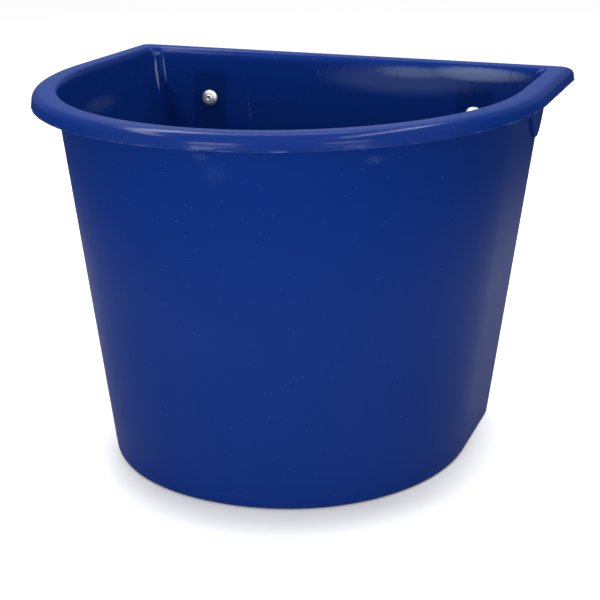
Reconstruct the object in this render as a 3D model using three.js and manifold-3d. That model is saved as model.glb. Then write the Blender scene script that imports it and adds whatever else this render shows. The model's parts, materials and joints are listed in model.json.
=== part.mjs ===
// Hanging feed manger: a moulded tub, D-shaped in plan, with a rolled rim and a flat back. Two bent
// steel hooks swivel on coach bolts through the back wall and hang the tub on a door or a rail.
// Millimetres, +Z up. The origin is on the underside of the base, on the middle plane, at the centre
// of the rounded front. +Y points to the flat back, and left is on the -X side.

import * as THREE from "three";
import { mergeVertices } from "three/addons/utils/BufferGeometryUtils.js";
import Module from "manifold-3d";

const wasm = await Module();
wasm.setup();

// Driving dimensions of the tub
const tubHeight = 324;
const rimHalfWidth = 215;
const rimFrontReach = 250;
const rimBackReach = 143;
const baseHalfWidth = 160;
const baseFrontReach = 175;
const baseBackReach = 98;
const wallThickness = 4;
const floorThickness = 4;

// Rolled rim
const rimOverhang = 22;
const rimDrop = 12.5;
const rimThickness = 3;
const rimShoulderWidth = 13;
const rimShoulderHeight = 9;
const rimLipInset = 18.5;
const rimLipDepth = 11;
const rimRootRadius = 3;
const rimCornerRadius = 10;
const mouthCornerRadius = 11;

// Lower edge of the tub
const baseCornerRadius = 13;
const baseEdgeRadius = 4;
const floorFilletRadius = 14;

// Pads under the rim at the rear corners
const padProud = 2.7;
const padDepth = 59;
const padSlopeLength = 86;
const padTipRadius = 7;
const padRearInset = 1;

// Hooks: flat bar, bent twice
const hookWidth = 30;
const hookThickness = 3;
const hookBendRadius = 4;
const railGap = 45;
const bridgeRise = 26;
const plateDrop = 24;
const rearLegLength = 82;
const hookEndRadius = 9;
const hookHoleDiameter = 6.8;

// Coach bolts
const boltSpacing = 260;
const boltBelowRim = 46;
const boltDiameter = 6;
const boltLength = 20;
const boltHeadDiameter = 16;
const boltHeadHeight = 3.8;
const boltHeadEdge = 0.8;
const boltNeckWidth = 6.3;
const boltNeckLength = 4;
const boltChamfer = 0.8;

// Washers, nuts and the rings that lock the nuts
const washerDiameter = 18;
const washerThickness = 1.6;
const washerHoleDiameter = 6.7;
const nutAcrossFlats = 10;
const nutHeight = 6;
const nutHexHeight = 4.3;
const nutChamfer = 0.6;
const nutCollarWall = 0.5;
const nutCollarLip = 0.4;
const nutLipReach = 0.5;
const lockRingWall = 0.7;

// Clearance between touching pieces, and how far a cutting tool runs past what it cuts
const clearance = 0.3;
const overrun = 2;

// Counts of facets
const frontFacets = 40;
const cornerFacets = 5;
const roundFacets = 24;
const bendFacets = 5;
const filletFacets = 4;
const shoulderFacets = 5;
const domeFacets = 4;

// How square the rounded front is in plan: 2 is an ellipse, and more is fuller
const rimFullness = 2;
const baseFullness = 2.08;

const tubBlue = new THREE.MeshStandardMaterial({ color: 0x0c2f8c, roughness: 0.3, metalness: 0 });
const galvanised = new THREE.MeshStandardMaterial({ color: 0xa9adb0, roughness: 0.45, metalness: 1 });
const zincPlate = new THREE.MeshStandardMaterial({ color: 0xc4c6c4, roughness: 0.35, metalness: 1 });
const nylonWhite = new THREE.MeshStandardMaterial({ color: 0xe6e4dc, roughness: 0.6, metalness: 0 });

const object = new THREE.Group();

function addPiece(name, geometry, material, parent) {
  const mesh = new THREE.Mesh(geometry, material);
  mesh.name = name;
  parent.add(mesh);
  return mesh;
}

// A closed three.js geometry as a solid that can be cut and joined
function toSolid(geometry) {
  const bare = geometry.clone();
  bare.deleteAttribute("normal");
  bare.deleteAttribute("uv");
  const merged = mergeVertices(bare);
  return new wasm.Manifold(new wasm.Mesh({
    numProp: 3,
    vertProperties: new Float32Array(merged.attributes.position.array),
    triVerts: new Uint32Array(merged.index.array),
  }));
}

function toGeometry(solid) {
  const mesh = solid.getMesh();
  const geometry = new THREE.BufferGeometry();
  geometry.setAttribute("position", new THREE.BufferAttribute(mesh.vertProperties, 3));
  geometry.setIndex(new THREE.BufferAttribute(mesh.triVerts, 1));
  geometry.computeVertexNormals();
  return geometry;
}

// A quarter turn as shares of its two radii, from the start direction to the end direction
function quarterTurn(facets) {
  return Array.from({ length: facets + 1 }, (_, i) => {
    const angle = (i / facets) * Math.PI / 2;
    return { along: Math.sin(angle), back: 1 - Math.cos(angle) };
  });
}

// Plan outline of one level of the tub, anticlockwise from the left end of the rounded front:
// a half-ellipse in front, straight sides, and a flat back with two rounded corners.
function planOutline({ halfWidth, front, back, corner, fullness }) {
  const points = [];
  for (let i = 0; i <= frontFacets; i += 1) {
    const angle = Math.PI * (1 - i / frontFacets);
    const across = Math.cos(angle);
    const forward = Math.sin(angle);
    points.push(new THREE.Vector2(
      halfWidth * Math.sign(across) * Math.abs(across) ** (2 / fullness),
      -front * Math.abs(forward) ** (2 / fullness),
    ));
  }
  for (const side of [1, -1]) {
    const centreX = side * (halfWidth - corner);
    const centreY = back - corner;
    const turn = Array.from({ length: cornerFacets + 1 }, (_, i) => {
      const angle = (i / cornerFacets) * Math.PI / 2;
      return new THREE.Vector2(
        centreX + side * corner * Math.cos(angle),
        centreY + corner * Math.sin(angle),
      );
    });
    points.push(...(side > 0 ? turn : turn.reverse()));
  }
  return points;
}

// A closed surface through a stack of plan outlines, from a flat start at the first to a flat end at
// the last. The outlines run up the outside of what they close in.
function loftRings(rings) {
  const count = rings[0].points.length;
  const positions = [0, 0, rings[0].z];
  for (const { points, z } of rings) {
    for (const point of points) positions.push(point.x, point.y, z);
  }
  positions.push(0, 0, rings.at(-1).z);
  const index = [];
  const lastPole = rings.length * count + 1;
  for (let i = 0; i < count; i += 1) {
    const next = (i + 1) % count;
    index.push(0, 1 + next, 1 + i);
    for (let ring = 0; ring < rings.length - 1; ring += 1) {
      const low = 1 + ring * count;
      const high = low + count;
      index.push(low + i, low + next, high + i, low + next, high + next, high + i);
    }
    const last = 1 + (rings.length - 1) * count;
    index.push(last + i, last + next, lastPole);
  }
  const geometry = new THREE.BufferGeometry();
  geometry.setAttribute("position", new THREE.Float32BufferAttribute(positions, 3));
  geometry.setIndex(index);
  return geometry;
}

// Level of the tub's outer wall at a height, drawn in by an inset
function wallLevel(z, inset, corner) {
  const rise = z / tubHeight;
  const topHalfWidth = rimHalfWidth - rimOverhang;
  const topFront = rimFrontReach - rimOverhang;
  const topBack = rimBackReach - rimOverhang;
  return {
    z,
    points: planOutline({
      halfWidth: baseHalfWidth + (topHalfWidth - baseHalfWidth) * rise - inset,
      front: baseFrontReach + (topFront - baseFrontReach) * rise - inset,
      back: baseBackReach + (topBack - baseBackReach) * rise - inset,
      corner,
      fullness: baseFullness + (rimFullness - baseFullness) * rise,
    }),
  };
}

// Level of the rim, drawn in from its outer edge by an inset
function rimLevel(z, inset, corner) {
  return {
    z,
    points: planOutline({
      halfWidth: rimHalfWidth - inset,
      front: rimFrontReach - inset,
      back: rimBackReach - inset,
      corner,
      fullness: rimFullness,
    }),
  };
}

// Corner radii of the wall, outside and inside, at a height
const outerCorner = (z) => (
  baseCornerRadius + (mouthCornerRadius + wallThickness - baseCornerRadius) * (z / tubHeight)
);
const innerCorner = (z) => outerCorner(z) - wallThickness;
const ceiling = tubHeight - rimThickness;

// The tub as if it were full: underside, lower edge, outer wall, the hollow under the rim, the
// skirt, the rounded shoulder and the top
function buildShell() {
  const rings = [];
  for (const step of quarterTurn(filletFacets)) {
    const z = baseEdgeRadius * step.back;
    const inset = baseEdgeRadius * (1 - step.along);
    rings.push(wallLevel(z, inset, outerCorner(z) - inset));
  }
  const rootStart = ceiling - rimRootRadius;
  rings.push(wallLevel(rootStart, 0, outerCorner(rootStart)));

  const skirtFoot = tubHeight - rimDrop;
  const hollowCorner = rimCornerRadius - rimThickness;
  rings.push(rimLevel(ceiling, rimOverhang - rimRootRadius, outerCorner(ceiling)));
  rings.push(rimLevel(ceiling, rimShoulderWidth, rimCornerRadius));
  rings.push(rimLevel(tubHeight - rimShoulderHeight, rimThickness, hollowCorner));
  rings.push(rimLevel(skirtFoot, rimThickness, hollowCorner));

  rings.push(rimLevel(skirtFoot, 0, rimCornerRadius));
  for (const step of quarterTurn(shoulderFacets)) {
    const z = tubHeight - rimShoulderHeight * (1 - step.along);
    rings.push(rimLevel(z, rimShoulderWidth * step.back, rimCornerRadius));
  }
  return toSolid(loftRings(rings));
}

// The space inside the tub: floor, rounded foot of the wall, inner wall, and the lip that flares
// out to the top of the rim
function buildCavity() {
  const rings = [];
  for (const step of quarterTurn(filletFacets)) {
    const z = floorThickness + floorFilletRadius * step.back;
    const inset = wallThickness + floorFilletRadius * (1 - step.along);
    rings.push(wallLevel(z, inset, innerCorner(z)));
  }
  const lipFoot = tubHeight - rimLipDepth;
  const lipReach = rimOverhang + wallThickness - rimLipInset;
  for (const step of quarterTurn(filletFacets)) {
    const z = lipFoot + rimLipDepth * step.along;
    const inset = rimLipInset + lipReach * (1 - step.back);
    rings.push(rimLevel(z, inset, innerCorner(z)));
  }
  rings.push(rimLevel(tubHeight + overrun, rimLipInset, innerCorner(tubHeight)));
  return toSolid(loftRings(rings));
}

// The flat back: how far it runs back over its height, its lean, its place at a height, and the
// height of the bolts in it
const backRun = rimBackReach - rimOverhang - baseBackReach;
const backLean = Math.atan2(backRun, tubHeight);
const backAt = (z) => baseBackReach + backRun * (z / tubHeight);
const boltHeight = tubHeight - boltBelowRim;

// Lean of the straight sides
const sideRun = rimHalfWidth - rimOverhang - baseHalfWidth;
const sideLean = Math.atan2(sideRun, tubHeight);

// Triangular pad that squares off the rear corner under the rim: its front edge slopes back down
// the side wall to a rounded tip, and its rear edge follows the flat back.
function buildPad(side) {
  const top = ceiling + rimThickness / 2;
  const root = outerCorner(tubHeight);
  const rear = backAt(top) - padRearInset;
  const rearLean = backRun / tubHeight;
  const shape = new THREE.Shape();
  shape.moveTo(0, 0);
  shape.lineTo(-padSlopeLength, 0);
  shape.lineTo(-padTipRadius - padDepth * rearLean, -padDepth + padTipRadius / 2);
  shape.quadraticCurveTo(
    -padDepth * rearLean, -padDepth,
    -(padDepth - padTipRadius) * rearLean, -padDepth + padTipRadius);
  shape.closePath();
  const plate = new THREE.ExtrudeGeometry(shape, {
    depth: root + padProud,
    bevelEnabled: false,
    curveSegments: bendFacets,
  });
  // the drawing's x becomes +Y, its y becomes +Z, and its thickness becomes +X
  plate.applyMatrix4(new THREE.Matrix4().makeBasis(
    new THREE.Vector3(0, 1, 0), new THREE.Vector3(0, 0, 1), new THREE.Vector3(1, 0, 0)));
  plate.translate(-root, 0, 0);
  plate.rotateY(sideLean);
  plate.translate(baseHalfWidth + sideRun * (top / tubHeight), rear, top);
  if (side < 0) mirrorX(plate);
  return toSolid(plate);
}

// Mirror a geometry in the middle plane and turn its faces out again
function mirrorX(geometry) {
  geometry.scale(-1, 1, 1);
  const index = geometry.index ?? new THREE.BufferAttribute(
    Uint32Array.from({ length: geometry.attributes.position.count }, (_, i) => i), 1);
  const flipped = index.clone();
  for (let i = 0; i < flipped.count; i += 3) {
    flipped.setX(i + 1, index.getX(i + 2));
    flipped.setX(i + 2, index.getX(i + 1));
  }
  geometry.setIndex(flipped);
}

// Frame of one bolt: its origin is where the bolt's axis leaves the outside of the back wall,
// +Y runs out of the wall along the bolt and +Z runs up the wall.
function boltFrame(side) {
  const frame = new THREE.Group();
  frame.position.set(side * boltSpacing / 2, backAt(boltHeight), boltHeight);
  frame.rotation.x = -backLean;
  frame.updateMatrix();
  return frame;
}

// Square hole for the bolt's neck, in the bolt's frame
function buildNeckHole() {
  const width = boltNeckWidth + 2 * clearance;
  return new THREE.BoxGeometry(width, 2 * (wallThickness + overrun), width);
}

function buildTrough() {
  let solid = buildShell().add(buildPad(-1)).add(buildPad(1)).subtract(buildCavity());
  for (const side of [-1, 1]) {
    solid = solid.subtract(toSolid(buildNeckHole().applyMatrix4(boltFrame(side).matrix)));
  }
  return toGeometry(solid);
}

// A flat bar bent twice, seen from the side: the front plate lies on the wall, the bridge goes over
// the rail and the rear leg hangs behind it. The drawing's x runs out of the wall, its y runs up.
const plateFace = clearance;
const nutSeat = plateFace + hookThickness + clearance + washerThickness + clearance;
const boltEnd = boltLength - wallThickness - clearance;
const legFace = boltEnd + clearance + railGap;
const bridgeTop = bridgeRise + hookThickness;

function buildHook() {
  const inner = hookBendRadius;
  const outer = hookBendRadius + hookThickness;
  const front = plateFace;
  const back = legFace + hookThickness;
  const shape = new THREE.Shape();
  shape.moveTo(front, -plateDrop);
  shape.lineTo(front + hookThickness, -plateDrop);
  shape.lineTo(front + hookThickness, bridgeRise - inner);
  shape.absarc(front + outer, bridgeRise - inner, inner, Math.PI, Math.PI / 2, true);
  shape.lineTo(back - outer, bridgeRise);
  shape.absarc(back - outer, bridgeRise - inner, inner, Math.PI / 2, 0, true);
  shape.lineTo(back - hookThickness, bridgeTop - rearLegLength);
  shape.lineTo(back, bridgeTop - rearLegLength);
  shape.lineTo(back, bridgeRise - inner);
  shape.absarc(back - outer, bridgeRise - inner, outer, 0, Math.PI / 2, false);
  shape.lineTo(front + outer, bridgeTop);
  shape.absarc(front + outer, bridgeRise - inner, outer, Math.PI / 2, Math.PI, false);
  shape.closePath();
  const bar = new THREE.ExtrudeGeometry(shape, {
    depth: hookWidth,
    bevelEnabled: false,
    curveSegments: bendFacets,
  });
  // the drawing's x becomes +Y, its y becomes +Z, and the bar's width becomes +X
  bar.translate(0, 0, -hookWidth / 2);
  bar.applyMatrix4(new THREE.Matrix4().makeBasis(
    new THREE.Vector3(0, 1, 0), new THREE.Vector3(0, 0, 1), new THREE.Vector3(1, 0, 0)));

  const middle = (front + back) / 2;
  const frontEnd = endTrim(-plateDrop, front - overrun, middle);
  const rearEnd = endTrim(bridgeTop - rearLegLength, middle, back + overrun);
  const hole = roundBar(hookHoleDiameter / 2, front - overrun, front + hookThickness + overrun);
  const ends = toSolid(frontEnd).add(toSolid(rearEnd));
  return toGeometry(toSolid(bar).intersect(ends).subtract(toSolid(hole)));
}

// Block with two rounded lower corners that trims one end of the bar
function endTrim(foot, from, to) {
  const edge = hookWidth / 2;
  const half = edge + overrun;
  const radius = hookEndRadius;
  const centreX = edge - radius;
  const centreZ = foot + radius;
  const shape = new THREE.Shape();
  shape.moveTo(-half, bridgeTop + overrun);
  shape.lineTo(-half, centreZ);
  shape.lineTo(-edge, centreZ);
  shape.absarc(-centreX, centreZ, radius, Math.PI, 1.5 * Math.PI, false);
  shape.absarc(centreX, centreZ, radius, 1.5 * Math.PI, 2 * Math.PI, false);
  shape.lineTo(half, centreZ);
  shape.lineTo(half, bridgeTop + overrun);
  shape.closePath();
  const block = new THREE.ExtrudeGeometry(shape, {
    depth: to - from,
    bevelEnabled: false,
    curveSegments: bendFacets,
  });
  block.rotateX(Math.PI / 2);
  block.translate(0, to, 0);
  return block;
}

// Round bar along the bolt's axis
function roundBar(radius, from, to) {
  const bar = new THREE.CylinderGeometry(radius, radius, to - from, roundFacets);
  bar.translate(0, (from + to) / 2, 0);
  return bar;
}

// Turned piece along the bolt's axis, from its profile of radii and places
function turned(profile) {
  const points = profile.map(([radius, place]) => new THREE.Vector2(radius, place));
  return new THREE.LatheGeometry(points, roundFacets);
}

// Coach bolt: domed head inside the tub, square neck in the wall, threaded shank through the hook
function buildBolt() {
  const seat = -wallThickness - clearance;
  const headRadius = boltHeadDiameter / 2;
  const shankRadius = boltDiameter / 2;
  const crown = boltHeadHeight - boltHeadEdge;
  const end = seat + boltLength;
  const dome = quarterTurn(domeFacets).map((step) => (
    [headRadius * step.along, seat - boltHeadEdge - crown * (1 - step.back)]
  ));
  const body = turned([
    ...dome,
    [headRadius, seat],
    [shankRadius, seat],
    [shankRadius, end - boltChamfer],
    [shankRadius - boltChamfer, end],
    [0, end],
  ]);
  const neck = new THREE.BoxGeometry(boltNeckWidth, boltNeckLength, boltNeckWidth);
  neck.translate(0, seat + boltNeckLength / 2, 0);
  return toGeometry(toSolid(body).add(toSolid(neck)));
}

function buildWasher() {
  const from = plateFace + hookThickness + clearance;
  const to = from + washerThickness;
  return turned([
    [washerHoleDiameter / 2, from],
    [washerDiameter / 2, from],
    [washerDiameter / 2, to],
    [washerHoleDiameter / 2, to],
    [washerHoleDiameter / 2, from],
  ]);
}

// Self-locking nut: chamfered hexagon with a thin collar that holds the lock ring
const nutBore = boltDiameter / 2 + clearance;
const collarOuter = nutAcrossFlats / 2;
const ringPocket = collarOuter - nutCollarWall;
const nutTop = nutSeat + nutHeight;
const hexTop = nutSeat + nutHexHeight;

function buildNut() {
  const cornerRadius = nutAcrossFlats / Math.sqrt(3);
  const hexagon = new THREE.CylinderGeometry(cornerRadius, cornerRadius, nutHexHeight, 6);
  hexagon.translate(0, (nutSeat + hexTop) / 2, 0);
  const chamfered = turned([
    [0, nutSeat],
    [cornerRadius - nutChamfer, nutSeat],
    [cornerRadius, nutSeat + nutChamfer],
    [cornerRadius, hexTop - nutChamfer],
    [cornerRadius - nutChamfer, hexTop],
    [0, hexTop],
  ]);
  const collar = roundBar(collarOuter - nutChamfer / 2, hexTop - nutChamfer, nutTop);
  const bore = roundBar(nutBore, nutSeat - overrun, nutTop + overrun);
  const pocket = roundBar(ringPocket - nutChamfer / 2, hexTop, nutTop - nutCollarLip);
  const mouth = roundBar(ringPocket - nutChamfer / 2 - nutLipReach, hexTop, nutTop + overrun);
  return toGeometry(toSolid(hexagon).intersect(toSolid(chamfered)).add(toSolid(collar))
    .subtract(toSolid(bore)).subtract(toSolid(pocket)).subtract(toSolid(mouth)));
}

function buildLockRing() {
  const from = hexTop + clearance;
  const to = nutTop - nutCollarLip - clearance;
  const inner = boltDiameter / 2 + clearance;
  return turned([
    [inner, from],
    [inner + lockRingWall, from],
    [inner + lockRingWall, to],
    [inner, to],
    [inner, from],
  ]);
}

addPiece("trough", buildTrough(), tubBlue, object);

for (const [label, side] of [["left", -1], ["right", 1]]) {
  const frame = boltFrame(side);
  addPiece(`${label}_hook`, buildHook(), galvanised, frame);
  addPiece(`${label}_bolt`, buildBolt(), zincPlate, frame);
  addPiece(`${label}_washer`, buildWasher(), zincPlate, frame);
  addPiece(`${label}_nut`, buildNut(), zincPlate, frame);
  addPiece(`${label}_lock_ring`, buildLockRing(), nylonWhite, frame);
  object.add(frame);
}

export default object;
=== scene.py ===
"""Hanging feed manger: a blue moulded trough, D-shaped seen from above, with a rolled rim and a flat
back, two coach bolts through the back wall, and two bent steel hooks that swivel on them.

Lengths are in metres. +Z is up, +Y points to the flat back, and left is on the -X side. In the
functions that make shapes, s, h and f hold the sizes of the trough, the hooks and the fasteners.
"""

import json
import math

import bpy
import numpy as np
from bpy.props import FloatProperty, FloatVectorProperty, PointerProperty
from bpy.types import Operator, Panel, PropertyGroup
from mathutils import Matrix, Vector


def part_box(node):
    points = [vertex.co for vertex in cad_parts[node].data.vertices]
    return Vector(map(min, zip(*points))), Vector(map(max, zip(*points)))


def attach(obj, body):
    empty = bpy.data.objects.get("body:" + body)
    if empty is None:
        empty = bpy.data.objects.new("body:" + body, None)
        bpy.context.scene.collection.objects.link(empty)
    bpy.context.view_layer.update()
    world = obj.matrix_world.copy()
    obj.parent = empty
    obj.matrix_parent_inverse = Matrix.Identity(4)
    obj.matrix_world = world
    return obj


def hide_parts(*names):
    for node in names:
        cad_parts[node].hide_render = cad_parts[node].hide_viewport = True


bl_info = {
    "name": "Hanging Feed Manger",
    "version": (1, 0, 0),
    "blender": (4, 5, 0),
    "location": "3D View > Sidebar > Manger",
    "description": "Dresses a hanging feed manger: trough, hooks, coach bolts, washers and lock nuts",
    "category": "Mesh",
}

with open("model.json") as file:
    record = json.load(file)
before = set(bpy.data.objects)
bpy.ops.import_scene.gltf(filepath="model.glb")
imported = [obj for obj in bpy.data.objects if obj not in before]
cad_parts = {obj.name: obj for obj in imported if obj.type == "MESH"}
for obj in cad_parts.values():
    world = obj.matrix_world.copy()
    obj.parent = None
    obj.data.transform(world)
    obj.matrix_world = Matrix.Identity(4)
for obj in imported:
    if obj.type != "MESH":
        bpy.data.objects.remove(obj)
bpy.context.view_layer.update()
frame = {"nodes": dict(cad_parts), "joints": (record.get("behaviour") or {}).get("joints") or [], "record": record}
trough_low, trough_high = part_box("trough")
swivels = {joint["child"].split("_")[0]: joint for joint in frame["joints"]}

SIDES = ("left", "right")
QUARTER = math.pi / 2
FULL = 2.0 * math.pi
OVERRUN = 0.002  # how far a cutting tool sticks out of what it cuts
CREASE = 35.0  # degrees past which an edge is drawn sharp


def length(name, default, description):
    """A property that holds a length in metres."""
    return FloatProperty(name=name, description=description, default=default, min=0.0,
                         unit="LENGTH", subtype="DISTANCE", precision=5)


def colour(name, default, description):
    """A property that holds a linear colour."""
    return FloatVectorProperty(name=name, description=description, default=default, size=3,
                               min=0.0, max=1.0, subtype="COLOR")


def share(name, default, description, high=1.0):
    """A property that holds a plain number from 0 to high."""
    return FloatProperty(name=name, description=description, default=default, min=0.0, max=high,
                         precision=4)


def watts(name, default, description):
    """A property that holds a lamp's power."""
    return FloatProperty(name=name, description=description, default=default, min=0.0, unit="POWER")


class TroughSizes(PropertyGroup):
    """Sizes of the moulded trough."""
    height: length("Height", trough_high.z, "From the underside to the top of the rim")
    rim_half_width: length("Rim half width", trough_high.x, "From the middle plane to the rim's side")
    rim_front: length("Rim front", -trough_low.y, "From the origin to the front of the rim")
    rim_back: length("Rim back", trough_high.y, "From the origin to the back of the rim")
    base_half_width: length("Base half width", 0.1588, "From the middle plane to the side at the base")
    base_front: length("Base front", 0.175, "From the origin to the front of the base")
    base_back: length("Base back", 0.098, "From the origin to the back of the base")
    rim_fullness: share("Rim fullness", 2.0, "2 is an ellipse, more is squarer", 8.0)
    base_fullness: share("Base fullness", 2.08, "2 is an ellipse, more is squarer", 8.0)
    wall: length("Wall", 0.004, "Thickness of the wall")
    floor: length("Floor", 0.004, "Thickness of the floor")
    overhang: length("Rim overhang", 0.0192, "How far the rim reaches past the front and the sides")
    rear_overhang: length("Rear overhang", 0.022, "How far the rim reaches past the back")
    rim_thickness: length("Rim thickness", 0.003, "Thickness of the rolled rim")
    skirt_drop: length("Skirt drop", 0.0125, "Depth of the rim's skirt")
    shoulder_width: length("Shoulder width", 0.013, "Width of the rim's rounded shoulder")
    shoulder_height: length("Shoulder height", 0.009, "Height of the rim's rounded shoulder")
    shoulder_fullness: share("Shoulder fullness", 2.6, "2 is an ellipse, more is squarer", 8.0)
    skirt_draft: length("Skirt draft", 0.0003, "How far the skirt leans out towards its foot")
    lip_inset: length("Lip inset", 0.0185, "From the rim's edge to where its top rolls inwards")
    lip_depth: length("Lip depth", 0.011, "Depth of the roll into the mouth")
    rim_root: length("Rim root", 0.003, "Radius where the wall meets the rim from below")
    rim_corner: length("Rim corner", 0.0065, "Radius of the rim's two rear corners")
    mouth_corner: length("Mouth corner", 0.011, "Radius of the mouth's two rear corners")
    base_corner: length("Base corner", 0.013, "Radius of the base's two rear corners")
    base_edge: length("Base edge", 0.004, "Radius of the lower edge")
    floor_fillet: length("Floor fillet", 0.014, "Radius where the wall meets the floor inside")
    bead: length("Flash bead", 0.0006, "Radius of the parting bead along the skirt's foot")
    witness_height: length("Witness line height", 0.0118, "Height of the mould line above the base")
    witness_proud: length("Witness line proud", 0.00014, "How far the mould line stands out")
    gate_radius: length("Gate mark radius", 0.006, "Radius of the dimple under the base")
    gate_depth: length("Gate mark depth", 0.0008, "Depth of the dimple under the base")
    pad_proud: length("Pad proud", 0.0023, "How far the corner pads stand out of the side walls")
    pad_depth: length("Pad depth", 0.070, "From the rim down to where the pads' two edges would meet")
    pad_slope: length("Pad slope", 0.096, "Length of the corner pads under the rim")
    pad_round: length("Pad round", 0.040, "How far up both edges the round at the pads' tip reaches")
    pad_rear_inset: length("Pad rear inset", 0.0085, "From the pads' rear edge to the back wall")
    pad_edge: length("Pad edge", 0.0007, "Radius of the pads' edges")


class HookSizes(PropertyGroup):
    """Sizes of the bent steel hooks."""
    width: length("Width", 0.030, "Width of the flat bar")
    thickness: length("Thickness", 0.003, "Thickness of the flat bar")
    bend: length("Bend radius", 0.004, "Inner radius of the two bends")
    rail_gap: length("Rail gap", 0.045, "Thickness of the rail that fits")
    rise: length("Rise", 0.026, "From the bolt up to the underside of the bridge")
    drop: length("Drop", 0.024, "From the bolt down to the end of the front plate")
    rear_leg: length("Rear leg", 0.082, "Length of the rear leg")
    end_radius: length("End radius", 0.009, "Radius of the rounded ends")
    edge: length("Edge", 0.0005, "Radius of the bar's edges")
    hole: length("Hole", 0.0068, "Diameter of the bolt's hole")


class FastenerSizes(PropertyGroup):
    """Sizes of the coach bolts, washers, lock nuts and lock rings."""
    diameter: length("Thread diameter", 0.006, "Outer diameter of the thread")
    pitch: length("Thread pitch", 0.001, "Distance from one thread crest to the next")
    thread_depth: length("Thread depth", 0.0005, "Depth of the thread")
    bolt_length: length("Bolt length", 0.020, "From under the head to the end")
    head_diameter: length("Head diameter", 0.016, "Diameter of the domed head")
    head_height: length("Head height", 0.0038, "Height of the domed head")
    head_edge: length("Head edge", 0.0008, "Height of the straight edge of the head")
    head_rings: length("Head rings", 0.0025, "Distance between the turned rings on the head")
    ring_depth: length("Ring depth", 0.00013, "Depth of the turned rings on the head")
    dimple: length("Dimple", 0.0012, "Radius of the dimple in the middle of the head")
    neck_width: length("Neck width", 0.0063, "Width of the square neck")
    neck_length: length("Neck length", 0.004, "Length of the square neck")
    neck_corner: length("Neck corner", 0.0006, "Radius of the neck's corners")
    bolt_chamfer: length("Bolt chamfer", 0.0008, "Chamfer at the end of the thread")
    washer_diameter: length("Washer diameter", 0.018, "Outer diameter of the washers")
    washer_thickness: length("Washer thickness", 0.0016, "Thickness of the washers")
    washer_hole: length("Washer hole", 0.0067, "Inner diameter of the washers")
    washer_edge: length("Washer edge", 0.0003, "Radius of the washers' edges")
    across_flats: length("Nut across flats", 0.010, "Width of the nuts across their flats")
    nut_height: length("Nut height", 0.006, "Height of the nuts with their collar")
    hex_height: length("Hexagon height", 0.0043, "Height of the nuts' hexagon")
    nut_chamfer: length("Nut chamfer", 0.0006, "Depth of the nuts' chamfer")
    collar_wall: length("Collar wall", 0.0005, "Thickness of the nuts' collar")
    collar_lip: length("Collar lip", 0.0004, "Thickness of the lip that holds the lock ring")
    lip_reach: length("Lip reach", 0.0005, "How far the lip reaches over the lock ring")
    ring_wall: length("Lock ring wall", 0.0009, "Thickness of the nylon ring")
    gap: length("Gap", 0.0003, "Gap between touching pieces")
    thread_gap: length("Thread gap", 0.00008, "Gap between the bolt's and the nut's thread")


class Finish(PropertyGroup):
    """Colours and wear of the materials."""
    plastic: colour("Plastic", (0.0029, 0.0210, 0.151), "Deep blue of the trough")
    # Also the paler blue of the flash bead's patches and of the top of the rim.
    plastic_worn: colour("Worn plastic", (0.10, 0.16, 0.36), "Blue where the plastic is scuffed")
    # Also the colour of the painted highlights and the painted reflection among the pale smears.
    plastic_dust_and_highlight: colour("Chalked plastic", (0.30, 0.37, 0.52), "Pale dust and smears on the plastic")
    nick: colour("Nick", (0.0, 0.002, 0.02), "Dark blue in the nicks of the rim and the back wall")
    roughness: share("Roughness", 0.27, "Roughness of the plastic under its gloss")
    relief: length("Relief", 0.0006, "Height of the moulding's unevenness")
    rim_gloss: share("Rim gloss", 0.17, "Gloss of the rim")
    wall_gloss: share("Wall gloss", 0.11, "Gloss of the lower wall")
    grip_gloss: share("Grip gloss", 0.02, "Gloss of the wall below the rim, dulled by handling")
    skirt_rub: share("Skirt rub", 1.0, "How dull the skirt is on the left, the sides and the back")
    crest_rub: share("Crest rub", 0.42, "How dull the top of the rim is there")
    # How much paler the top of the rim is drawn.
    top_paleness: share("Top wear", 0.10, "How much the top of the rim has worn pale")
    scuffs: share("Scuffs", 0.35, "How much of the plastic is scratched")
    specks: share("Specks", 0.02, "How many pale specks lie on the plastic")
    # Also the strength of the painted highlights and the painted reflection in that list.
    smears: share("Smears", 1.0, "Strength of the smears and scuffs that have their own places", 2.0)
    galvanised: colour("Galvanised steel", (0.42, 0.44, 0.45), "Grey of the hooks")
    zinc: colour("Zinc plate", (0.62, 0.63, 0.62), "Bright grey of the bolts, washers and nuts")
    nylon: colour("Nylon", (0.74, 0.72, 0.66), "White of the lock rings")


class StageSettings(PropertyGroup):
    """Floor, lamps and camera."""
    floor_reach: length("Floor reach", 12.0, "From the middle of the floor to its edge")
    floor_colour: colour("Floor", (0.80, 0.80, 0.80), "Pale grey of the floor")
    # The low glow at the base is painted shade over the real contact shadow.
    floor_glow: share("Floor glow", 0.02, "Light that the floor at the base adds to what is seen", 2.0)
    near_glow: share("Near glow", 0.34, "The same, past the contact shadow", 2.0)
    far_glow: share("Far glow", 0.76, "Light that the floor further off adds to what is seen", 2.0)
    sky: share("Sky", 0.22, "Strength of the soft light from all round", 4.0)
    left_lamp: watts("Left lamp", 19.0, "Power of the strip lamp high on the left")
    right_lamp: watts("Right lamp", 15.0, "Power of the strip lamp high on the right")
    top_lamp: watts("Top lamp", 3.0, "Power of the strip lamp above the back")
    low_left_lamp: watts("Low left lamp", 10.5, "Power of the low lamp to the left of the camera")
    low_right_lamp: watts("Low right lamp", 5.0, "Power of the low lamp to the right of the camera")
    front_lamp: watts("Front lamp", 13.0, "Power of the wide lamp behind the camera")
    lens: FloatProperty(name="Lens", description="Focal length of the camera in millimetres",
                        default=86.53, min=1.0)


# Meshes from grids of points


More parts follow.
